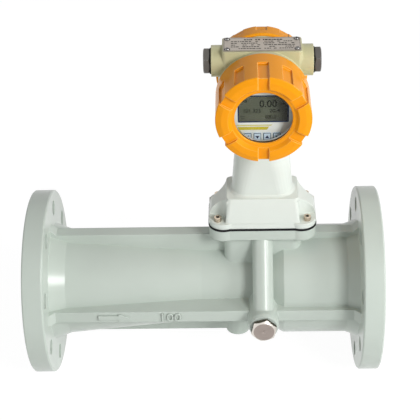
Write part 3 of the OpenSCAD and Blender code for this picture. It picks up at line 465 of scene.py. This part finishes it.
def plastic(name, colour, low=0.4, high=0.55, scale=500, strength=0.1, shine=0.2):
    """Moulded plastic or film with a fine texture."""
    mat, nt, bsdf, coord = start_material(name)
    cloud = ramp(nt, noise(nt, coord, 60, 2), shades(colour, 0.95, 1.05))
    nt.links.new(cloud, bsdf.inputs["Base Color"])
    grain = noise(nt, coord, scale, 2)
    uneven_gloss(nt, bsdf, grain, low, high)
    nt.links.new(bump(nt, grain, strength, TOOL_RELIEF), bsdf.inputs["Normal"])
    bsdf.inputs["Specular IOR Level"].default_value = shine
    return mat


def screen_glass(name, left, right, spill):
    """Unlit display glass: grey-green, with painted shade that darkens it towards the right, over a
    fine grid of cells.
    """
    mat, nt, bsdf, coord = start_material(name)
    xyz = object_xyz(nt, coord)
    half = LCD_W / 2
    across = map_range(nt, xyz["X"], (AXIS_X - half) * MM, (AXIS_X + half) * MM, 0.0, 1.0)
    drift = map_range(nt, noise(nt, coord, 45, 2), 0.3, 0.7, -spill, spill)
    cloudy = math_node(nt, "ADD", across, drift)
    # Darker towards the right: painted shade
    base = ramp(nt, cloudy, [(0.0, left), (0.55, tint(left, 1.1)), (1.0, right)])
    cell = 0.42 * MM
    phases = [math_node(nt, "MULTIPLY", xyz[axis], math.pi / cell) for axis in "XZ"]
    lines = [math_node(nt, "ABSOLUTE", math_node(nt, "SINE", phase)) for phase in phases]
    grid = math_node(nt, "LESS_THAN", math_node(nt, "MINIMUM", *lines), 0.25)
    faint = math_node(nt, "MULTIPLY", grid, 0.25)
    nt.links.new(mix_colour(nt, faint, base, tint(left, 0.5)), bsdf.inputs["Base Color"])
    uneven_gloss(nt, bsdf, noise(nt, coord, 80, 2), 0.16, 0.28)
    bsdf.inputs["Specular IOR Level"].default_value = 0.05
    return mat


def window(name):
    """Clear flat glass: see-through, with a reflection that grows at low angles."""
    mat, nt, gloss, coord = start_material(name)
    mix = nt.nodes.new("ShaderNodeMixShader")
    clear = nt.nodes.new("ShaderNodeBsdfTransparent")
    facing = nt.nodes.new("ShaderNodeFresnel")
    clear.inputs["Color"].default_value = (1, 1, 1, 1)
    gloss.inputs["Base Color"].default_value = (0.9, 0.95, 0.95, 1)
    gloss.inputs["Metallic"].default_value = 1.0
    facing.inputs["IOR"].default_value = 1.18
    uneven_gloss(nt, gloss, noise(nt, coord, 30, 2), 0.02, 0.05)
    nt.links.new(facing.outputs[0], mix.inputs["Fac"])
    nt.links.new(clear.outputs[0], mix.inputs[1])
    nt.links.new(gloss.outputs[0], mix.inputs[2])
    nt.links.new(mix.outputs[0], material_output(nt).inputs["Surface"])
    return mat


BODY_COLOUR = (0.520, 0.580, 0.526)
NECK_COLOUR = (0.682, 0.730, 0.680)
HEAD_COLOUR = (0.540, 0.520, 0.312)
COVER_COLOUR = (0.860, 0.318, 0.004)
# Light yellow-orange painted along the covers' edges: a painted highlight
COVER_EDGE_HIGHLIGHT = (1.000, 0.600, 0.160)
M = {
    "body_paint": body_paint(BODY_COLOUR),
    "neck_paint": painted("neck_paint", NECK_COLOUR, 0.30, edge=0.0016, shine=0.3, coat=0.08)[0],
    "head_paint": head_paint(HEAD_COLOUR),
    "cover_paint": cover_paint(COVER_COLOUR, COVER_EDGE_HIGHLIGHT),
    "stainless": metal("stainless", (0.40, 0.36, 0.31), 0.22, 0.38, metallic=0.9),
    # Plug colours are face, chamfer and flats: the lighter chamfers are painted highlights, and the
    # port plug's dark flats are painted shade
    "plug_steel": plug_metal("plug_steel", (0.135, 0.128, 0.120), (0.25, 0.24, 0.23),
                             (0.140, 0.132, 0.122), "X"),
    "port_steel": plug_metal("port_steel", (0.37, 0.315, 0.285), (0.74, 0.70, 0.64),
                             (0.075, 0.070, 0.048), "Y"),
    "cap_steel": socket_steel("cap_steel", (0.50, 0.42, 0.33)),
    "head_steel": metal("head_steel", (0.19, 0.185, 0.18), 0.18, 0.30),
    "dark_steel": metal("dark_steel", (0.13, 0.125, 0.12), 0.35, 0.5, metallic=0.85),
    "vane_metal": metal("vane_metal", (0.66, 0.67, 0.68), 0.3, 0.42, (1, 8, 8)),
    # Body paint darkened, for the painted shadows round the raised marks
    "contact_shadow_paint": painted("contact_shadow_paint", tint(BODY_COLOUR, 0.55), 0.6, shine=0.1)[0],
    "bare_plate": metal("bare_plate", (0.385, 0.345, 0.300), 0.38, 0.5, (1, 40, 1), 25,
                        metallic=0.7),
    "black_rubber": plastic("black_rubber", (0.010, 0.010, 0.011), 0.62, 0.8, 900, 0.25),
    "window_glass": window("window_glass"),
    "panel_plastic": plastic("panel_plastic", (0.86, 0.90, 0.85), 0.35, 0.5),
    "key_plastic": plastic("key_plastic", (0.68, 0.83, 0.94), 0.4, 0.55),
    # The display's second, darker colour is painted shade on its right side
    "lcd_plastic": screen_glass("lcd_plastic", (0.110, 0.122, 0.084), (0.050, 0.050, 0.041), 0.12),
    "board_green": plastic("board_green", (0.02, 0.12, 0.05), 0.35, 0.5),
    "battery_wrap": plastic("battery_wrap", (0.05, 0.16, 0.13), 0.25, 0.35),
    "terminal_plastic": plastic("terminal_plastic", (0.03, 0.12, 0.07), 0.4, 0.55),
    "brass": metal("brass", (0.75, 0.55, 0.22), 0.25, 0.4),
    "navy_print": plastic("navy_print", (0.008, 0.024, 0.085), 0.4, 0.5, shine=0.05),
    "key_line": plastic("key_line", (0.030, 0.075, 0.130), 0.4, 0.5, shine=0.05),
    "lcd_ink": plastic("lcd_ink", (0.008, 0.009, 0.006), 0.4, 0.5, shine=0.02),
    "yellow_print": plastic("yellow_print", (0.66, 0.57, 0.045), 0.4, 0.5, shine=0.05),
    "pale_yellow_print": plastic("pale_yellow_print", (0.74, 0.70, 0.26), 0.4, 0.5, shine=0.05),
    # Dark ink for the nameplate's print, also used for the painted shade and shadows at its screws
    "plate_ink_and_shade": plastic("plate_ink_and_shade", (0.030, 0.028, 0.025), 0.45, 0.6, shine=0.05),
}
OWN_LOOKS = {"neck_screws": "cap_steel", "window_ring": "vane_metal"}


def dress_cad():
    slots = {s["node"]: s["material_slot"] for s in frame["record"]["subparts"]}
    for name, ob in NODES.items():
        mat = M[OWN_LOOKS.get(name, slots[name])]
        if not ob.material_slots:
            ob.data.materials.append(mat)
        for s in ob.material_slots:
            s.link = "OBJECT"
            s.material = mat


# Mesh helpers
def on_head(x, y, h):
    """A point on the head, from millimetres right of, above and in front of the neck axis."""
    return Vector((AXIS_X + x, -h, HEAD_Z + y)) * MM


def on_rail(x, z, h):
    """A point on the front rail, from millimetres along, above and in front of the pipe axis."""
    return Vector((x, -h, z)) * MM


def on_plate(x, y, h):
    """A point on the nameplate, from millimetres right of and behind the neck, and its height."""
    return Vector((AXIS_X + x, y, h)) * MM


def mesh_object(name, verts, faces, mat, body, smooth=False):
    me = bpy.data.meshes.new(name)
    me.from_pydata([tuple(v) for v in verts], [], faces)
    me.validate()
    me.update()
    for p in me.polygons:
        p.use_smooth = smooth
    ob = bpy.data.objects.new(name, me)
    bpy.context.collection.objects.link(ob)
    me.materials.append(mat)
    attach(ob, body)
    return ob


def slabs(outlines, place, low, high):
    """Prisms over 2D outlines between two heights; place(x, y, h) gives the point in metres."""
    verts, faces = [], []
    for ring in outlines:
        n, k = len(ring), len(verts)
        verts += [place(x, y, low) for x, y in ring] + [place(x, y, high) for x, y in ring]
        faces += [tuple(range(k + n - 1, k - 1, -1)), tuple(range(k + n, k + 2 * n))]
        faces += [(k + i, k + (i + 1) % n, k + n + (i + 1) % n, k + n + i) for i in range(n)]
    return verts, faces


def bands(pairs, place, low, high):
    """Raised lines between an outer and an inner outline of as many points."""
    verts, faces = [], []
    for outer, inner in pairs:
        n, k = len(outer), len(verts)
        for ring, h in ((outer, low), (outer, high), (inner, high), (inner, low)):
            verts += [place(x, y, h) for x, y in ring]
        for step in range(4):
            a, b = k + step * n, k + (step + 1) % 4 * n
            faces += [(a + i, a + (i + 1) % n, b + (i + 1) % n, b + i) for i in range(n)]
    return verts, faces


def rect(cx, cy, w, h):
    return [(cx + sx * w / 2, cy + sy * h / 2) for sx, sy in ((-1, -1), (1, -1), (1, 1), (-1, 1))]


def round_rect(cx, cy, w, h, r, steps=5):
    points = []
    for sx, sy, start in ((1, 1, 0), (-1, 1, 90), (-1, -1, 180), (1, -1, 270)):
        for i in range(steps + 1):
            a = math.radians(start + 90 * i / steps)
            x = cx + sx * (w / 2 - r) + r * math.cos(a)
            y = cy + sy * (h / 2 - r) + r * math.sin(a)
            points.append((x, y))
    return points


def drawn_in(points, reach):
    """Outline whose points beyond a circle round the head's axis are drawn in to it."""
    shares = [min(1, reach / math.hypot(x, y)) for x, y in points]
    return [(x * share, y * share) for (x, y), share in zip(points, shares)]


def round_band(cx, cy, w, h, r, line):
    """Outer and inner outline of a line that follows a rounded rectangle."""
    inner = round_rect(cx, cy, w - 2 * line, h - 2 * line, max(r - line, 0.05))
    return round_rect(cx, cy, w, h, r), inner


def figures(name, text, low, high, place, base, top, mat, body, bold=0.0):
    """Plain figures as solid shapes that fill a rectangle from its low to its high corner."""
    curve = bpy.data.curves.new(name, "FONT")
    curve.body, curve.resolution_u = text, 4
    curve.extrude, curve.offset = 0.5, bold
    temp = bpy.data.objects.new(name + "_curve", curve)
    bpy.context.collection.objects.link(temp)
    bpy.context.view_layer.update()
    me = bpy.data.meshes.new_from_object(temp.evaluated_get(bpy.context.evaluated_depsgraph_get()))
    points = [v.co.copy() for v in me.vertices]
    faces = [tuple(p.vertices) for p in me.polygons]
    bpy.data.objects.remove(temp)
    bpy.data.meshes.remove(me)
    box = [(min(p[i] for p in points), max(p[i] for p in points)) for i in range(2)]
    verts = []
    for p in points:
        shares = [(p[i] - box[i][0]) / (box[i][1] - box[i][0]) for i in range(2)]
        x, y = (low[i] + shares[i] * (high[i] - low[i]) for i in range(2))
        verts.append(place(x, y, top if p.z > 0 else base))
    return mesh_object(name, verts, faces, mat, body)


# Raised marks on the casting
def flow_arrow():
    """Raised arrow on the front rail, pointing along the flow, over a darker painted shadow that
    reaches further below it.
    """
    tail, neck, tip, half_shaft, half_head = 81.0, 105.0, 117.0, 3.0, 5.2
    arrow = [(tail, -half_shaft), (neck, -half_shaft), (neck, -half_head), (tip, 0),
             (neck, half_head), (neck, half_shaft), (tail, half_shaft)]
    verts, faces = slabs([arrow], on_rail, RAIL_REACH - CAST_ROOT, RAIL_REACH + CAST_RELIEF)
    mesh_object("flow_arrow", verts, faces, M["body_paint"], "meter")
    # A larger, lower, darker copy under the arrow: a painted shadow
    grow, sink = 0.5, 0.3
    shadow_outline = [(x + (grow if x > tail else -grow), z - sink + grow * ((z > 0) - (z < 0)))
             for x, z in arrow]
    verts, faces = slabs([shadow_outline], on_rail, RAIL_REACH - CAST_ROOT, RAIL_REACH + SHADOW_RISE)
    mesh_object("flow_arrow_shadow", verts, faces, M["contact_shadow_paint"], "meter")


def size_figures():
    """Nominal size in millimetres, cast on the front rail, over a darker painted shadow that
    reaches further below the figures.
    """
    left, right, half = 155.0, 178.0, 5.6
    aside, above, below = 0.5, 0.2, 0.9
    root = RAIL_REACH - CAST_ROOT
    figures("size_figures", "100", (left, -half), (right, half), on_rail, root,
            RAIL_REACH + CAST_RELIEF, M["body_paint"], "meter", bold=0.01)
    # A larger darker copy under the figures, reaching furthest below: a painted shadow
    low, high = (left - aside, -half - below), (right + aside, half + above)
    figures("size_figures_shadow", "100", low, high, on_rail, root, RAIL_REACH + SHADOW_RISE,
            M["contact_shadow_paint"], "meter", bold=0.04)


def port_plug_head():
    """Hexagon head with a dimple and a chamfered rim, which stands for the plain solid.

    Each ring is a radius and a place in front of the pipe's axis. Without a radius it follows the
    hexagon, and without a place it lies on the chamfer.
    """
    spokes, turn = 72, math.radians(PLUG_TURN)
    front, back, shank = PLUG_FRONT, PLUG_FRONT - PLUG_H, 3.0
    face_r, chamfer_slope = PLUG_AF / 2 * 0.88, 0.7
    dimple_r, dimple_floor_r, dimple_depth = 3.0, 0.8, 0.9
    rings = [(dimple_floor_r, front - dimple_depth), (dimple_r, front), (face_r, front),
             (None, None), (None, back), (PORT_R, back), (PORT_R, back - shank)]
    verts, faces = [], []
    for ring_r, place in rings:
        for i in range(spokes):
            a = 2 * math.pi * i / spokes
            across = (a - turn) % (math.pi / 3) - math.pi / 6
            hexagon_r = PLUG_AF / 2 / math.cos(across)
            r = hexagon_r if ring_r is None else ring_r
            h = front - (hexagon_r - face_r) * chamfer_slope if place is None else place
            verts.append(on_rail(AXIS_X + r * math.cos(a), r * math.sin(a), h))
    for k in range(len(rings) - 1):
        a, b = k * spokes, (k + 1) * spokes
        faces += [(a + i, b + i, b + (i + 1) % spokes, a + (i + 1) % spokes) for i in range(spokes)]
    faces.append(tuple(range(spokes - 1, -1, -1)))
    head = mesh_object("port_plug_head", verts, faces, M["port_steel"], "meter")
    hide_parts("port_plug")


# Display and keys
def display_prints():
    """Dark border round the display, its rows of plain figures and its small marks."""
    h = PANEL_FACE
    overlap, corner, line = 0.6, 1.6, 1.4
    border = round_band(0, LCD_RISE, LCD_W + overlap, LCD_H + overlap, corner, line)
    verts, faces = bands([border], on_head, h - 0.2, h + LINE_H)
    mesh_object("lcd_border", verts, faces, M["navy_print"], "head")
    rows = {
        "flow_figures": ("0.00", (-4.0, 4.4), (14.2, 12.9)),
        "pressure_figures": ("101.325", (-20.4, -1.9), (-2.6, 2.7)),
        "warmth_figures": ("20.4", (6.4, -1.9), (17.2, 2.7)),
        "total_figures": ("000.0", (2.0, -9.4), (13.2, -4.8)),
    }
    for name, (text, low, high) in rows.items():
        figures(name, text, low, high, on_head, h - PRINT_ROOT, h + PRINT_H, M["lcd_ink"], "head",
                bold=0.012)
    left, right = -21.5, 20.4
    marks = [rect(left + 1.3 * i, LCD_RISE + 9.5, 0.7, 1.2 + 0.9 * i) for i in range(4)]
    marks += [rect(left, -6.4, 4.2, 0.7), rect(left, -9.0, 4.2, 0.7)]
    marks += [rect(right, LCD_RISE + 6.0, 3.4, 0.8)]
    verts, faces = slabs(marks, on_head, h - PRINT_ROOT, h + 0.05)
    mesh_object("screen_marks", verts, faces, M["lcd_ink"], "head")


def panel_stripes():
    """Two plain slanted stripes under the display."""
    h, lean = PANEL_FACE, 2.0
    stripes = {
        "stripe_wide": ("yellow_print", -29.5, 4.0, -22.6, -18.9),
        "stripe_thin": ("pale_yellow_print", -29.5, 8.0, -17.9, -16.4),
    }
    for name, (mat, left, right, low, high) in stripes.items():
        outline = [(left, low), (right, low), (right + lean, high), (left + lean, high)]
        verts, faces = slabs([outline], on_head, h - 0.1, h + PRINT_H)
        mesh_object(name, verts, faces, M[mat], "head")


def key_films():
    """Printed film on each key, with a round-cornered frame and an arrow, riding with the key."""
    film_h, corner, line, reach = 10.9, 0.9, 0.62, 41.0
    base, margin, arrow_rise = KEY_FACE, 0.3, 0.5
    middle = KEY_TOP - film_h / 2 - margin
    turns = {"key_left": 180, "key_down": 270, "key_up": 90, "key_right": 0}
    for i, (name, turn) in enumerate(turns.items()):
        cx = (i - 1.5) * KEY_PITCH + KEY_SHIFT
        t = math.radians(turn)
        film = drawn_in(round_rect(cx, middle, KEY_W, film_h, corner), reach)
        verts, faces = slabs([film], on_head, base - 0.02, base + PRINT_H)
        mesh_object(name + "_film", verts, faces, M["key_plastic"], name)
        outer, inner = round_band(cx, middle, KEY_W, film_h, corner, line)
        edge = drawn_in(outer, reach), drawn_in(inner, reach - line)
        verts, faces = bands([edge], on_head, base, base + LINE_H)
        mesh_object(name + "_frame", verts, faces, M["key_line"], name)
        cy = middle + arrow_rise
        arrow = [(cx + a * math.cos(t) - b * math.sin(t), cy + a * math.sin(t) + b * math.cos(t))
                 for a, b in ((1.9, 0.0), (-1.4, 2.2), (-1.4, -2.2))]
        verts, faces = slabs([arrow], on_head, base, base + LINE_H)
        mesh_object(name + "_arrow", verts, faces, M["navy_print"], name)


# Nameplate and its screws
def plate_lines():
    """Blank fields on the nameplate: a short, tall row over rows of short dashes, and no words."""
    random.seed(7)
    outlines = []
    rows, gap, left, right, indent = 6, 4.1, -33.0, 33.0, 14
    for row in range(rows):
        y = (rows - 1) * gap / 2 - row * gap
        x, stop, height = (left + indent, right - indent, 2.5) if row == 0 else (left, right, 1.7)
        while x < stop:
            long = random.uniform(1.2, 3.4)
            if random.random() < 0.82 and not -3 < x < 1:
                outlines.append(rect(x + long / 2, y, long, height))
            x += long + random.uniform(0.5, 1.0)
    verts, faces = slabs(outlines, on_plate, PLATE_TOP - PRINT_ROOT, PLATE_TOP + 0.03)
    mesh_object("plate_lines", verts, faces, M["plate_ink_and_shade"], "head")
    inset, corner, line = 1.2, 1.2, 0.35
    edge = round_band(0, 0, PLATE_L - inset, PLATE_W - inset, corner, line)
    verts, faces = bands([edge], on_plate, PLATE_TOP - PRINT_ROOT, PLATE_TOP + 0.05)
    mesh_object("plate_border", verts, faces, M["plate_ink_and_shade"], "head")


def plate_screw(cx, cy, turn):
    """Pan head with a cross recess, as a round grid of points."""
    radius, height, slot_half, slot_reach, slot_depth = 2.6, 1.7, 0.5, 1.8, 0.9
    rings, spokes = 12, 48
    verts, faces = [on_plate(cx, cy, PLATE_TOP + height - slot_depth)], []
    c, s = math.cos(turn), math.sin(turn)
    for i in range(1, rings + 1):
        share = i / rings
        r = radius * share
        dome = height * math.sqrt(max(1 - share ** 4, 0))
        for j in range(spokes):
            a = 2 * math.pi * j / spokes
            x, y = r * math.cos(a), r * math.sin(a)
            u, v = c * x + s * y, c * y - s * x
            in_slot = min(abs(u), abs(v)) < slot_half and max(abs(u), abs(v)) < slot_reach
            lift = dome - (slot_depth if in_slot else 0)
            verts.append(on_plate(cx + x, cy + y, PLATE_TOP + max(lift, -0.1)))
    for j in range(spokes):
        faces.append((0, 1 + j, 1 + (j + 1) % spokes))
        for i in range(rings - 1):
            a, b = 1 + i * spokes, 1 + (i + 1) * spokes
            faces.append((a + j, b + j, b + (j + 1) % spokes, a + (j + 1) % spokes))
    return verts, faces


def plate_screws():
    """Four heads in one piece, which stands for the plain cones, with painted shade in the cross
    recesses and a painted shadow ring round each head.
    """
    verts, faces, cross_shades = [], [], []
    cross_length, cross_width, cross_low, cross_high = 3.1, 0.8, 0.3, 0.95
    rim_d, rim_corner, rim_line = 6.4, 3.19, 0.8
    corners = [(sx * PLATE_SCREW_X, sy * PLATE_SCREW_Y) for sx in (-1, 1) for sy in (-1, 1)]
    for i, (x, y) in enumerate(corners):
        turn = 0.5 + 0.9 * i
        more_verts, more_faces = plate_screw(x, y, turn)
        k = len(verts)
        verts += more_verts
        faces += [tuple(k + v for v in face) for face in more_faces]
        for quarter in (0, math.pi / 2):
            c, s = math.cos(turn + quarter), math.sin(turn + quarter)
            bar = rect(0, 0, cross_length, cross_width)
            cross_shades.append([(x + c * a - s * b, y + s * a + c * b) for a, b in bar])
    heads = mesh_object("plate_screw_heads", verts, faces, M["head_steel"], "head",
                        smooth=True)
    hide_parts("nameplate_screws")
    # Dark bars in the cross recesses: painted shade
    verts, faces = slabs(cross_shades, on_plate, PLATE_TOP + cross_low, PLATE_TOP + cross_high)
    mesh_object("plate_screw_recess_shade", verts, faces, M["plate_ink_and_shade"], "head")
    # Dark rings round the heads: painted shadows
    rim_shadows = [round_band(x, y, rim_d, rim_d, rim_corner, rim_line) for x, y in corners]
    verts, faces = bands(rim_shadows, on_plate, PLATE_TOP - PRINT_ROOT, PLATE_TOP + 0.08)
    mesh_object("plate_screw_rim_shadows", verts, faces, M["plate_ink_and_shade"], "head")


make_camera()
make_world()
for lamp, values in LAMPS.items():
    make_lamp(lamp, *values)
make_floor()
dress_cad()
flow_arrow()
size_figures()
port_plug_head()
display_prints()
panel_stripes()
key_films()
plate_lines()
plate_screws()
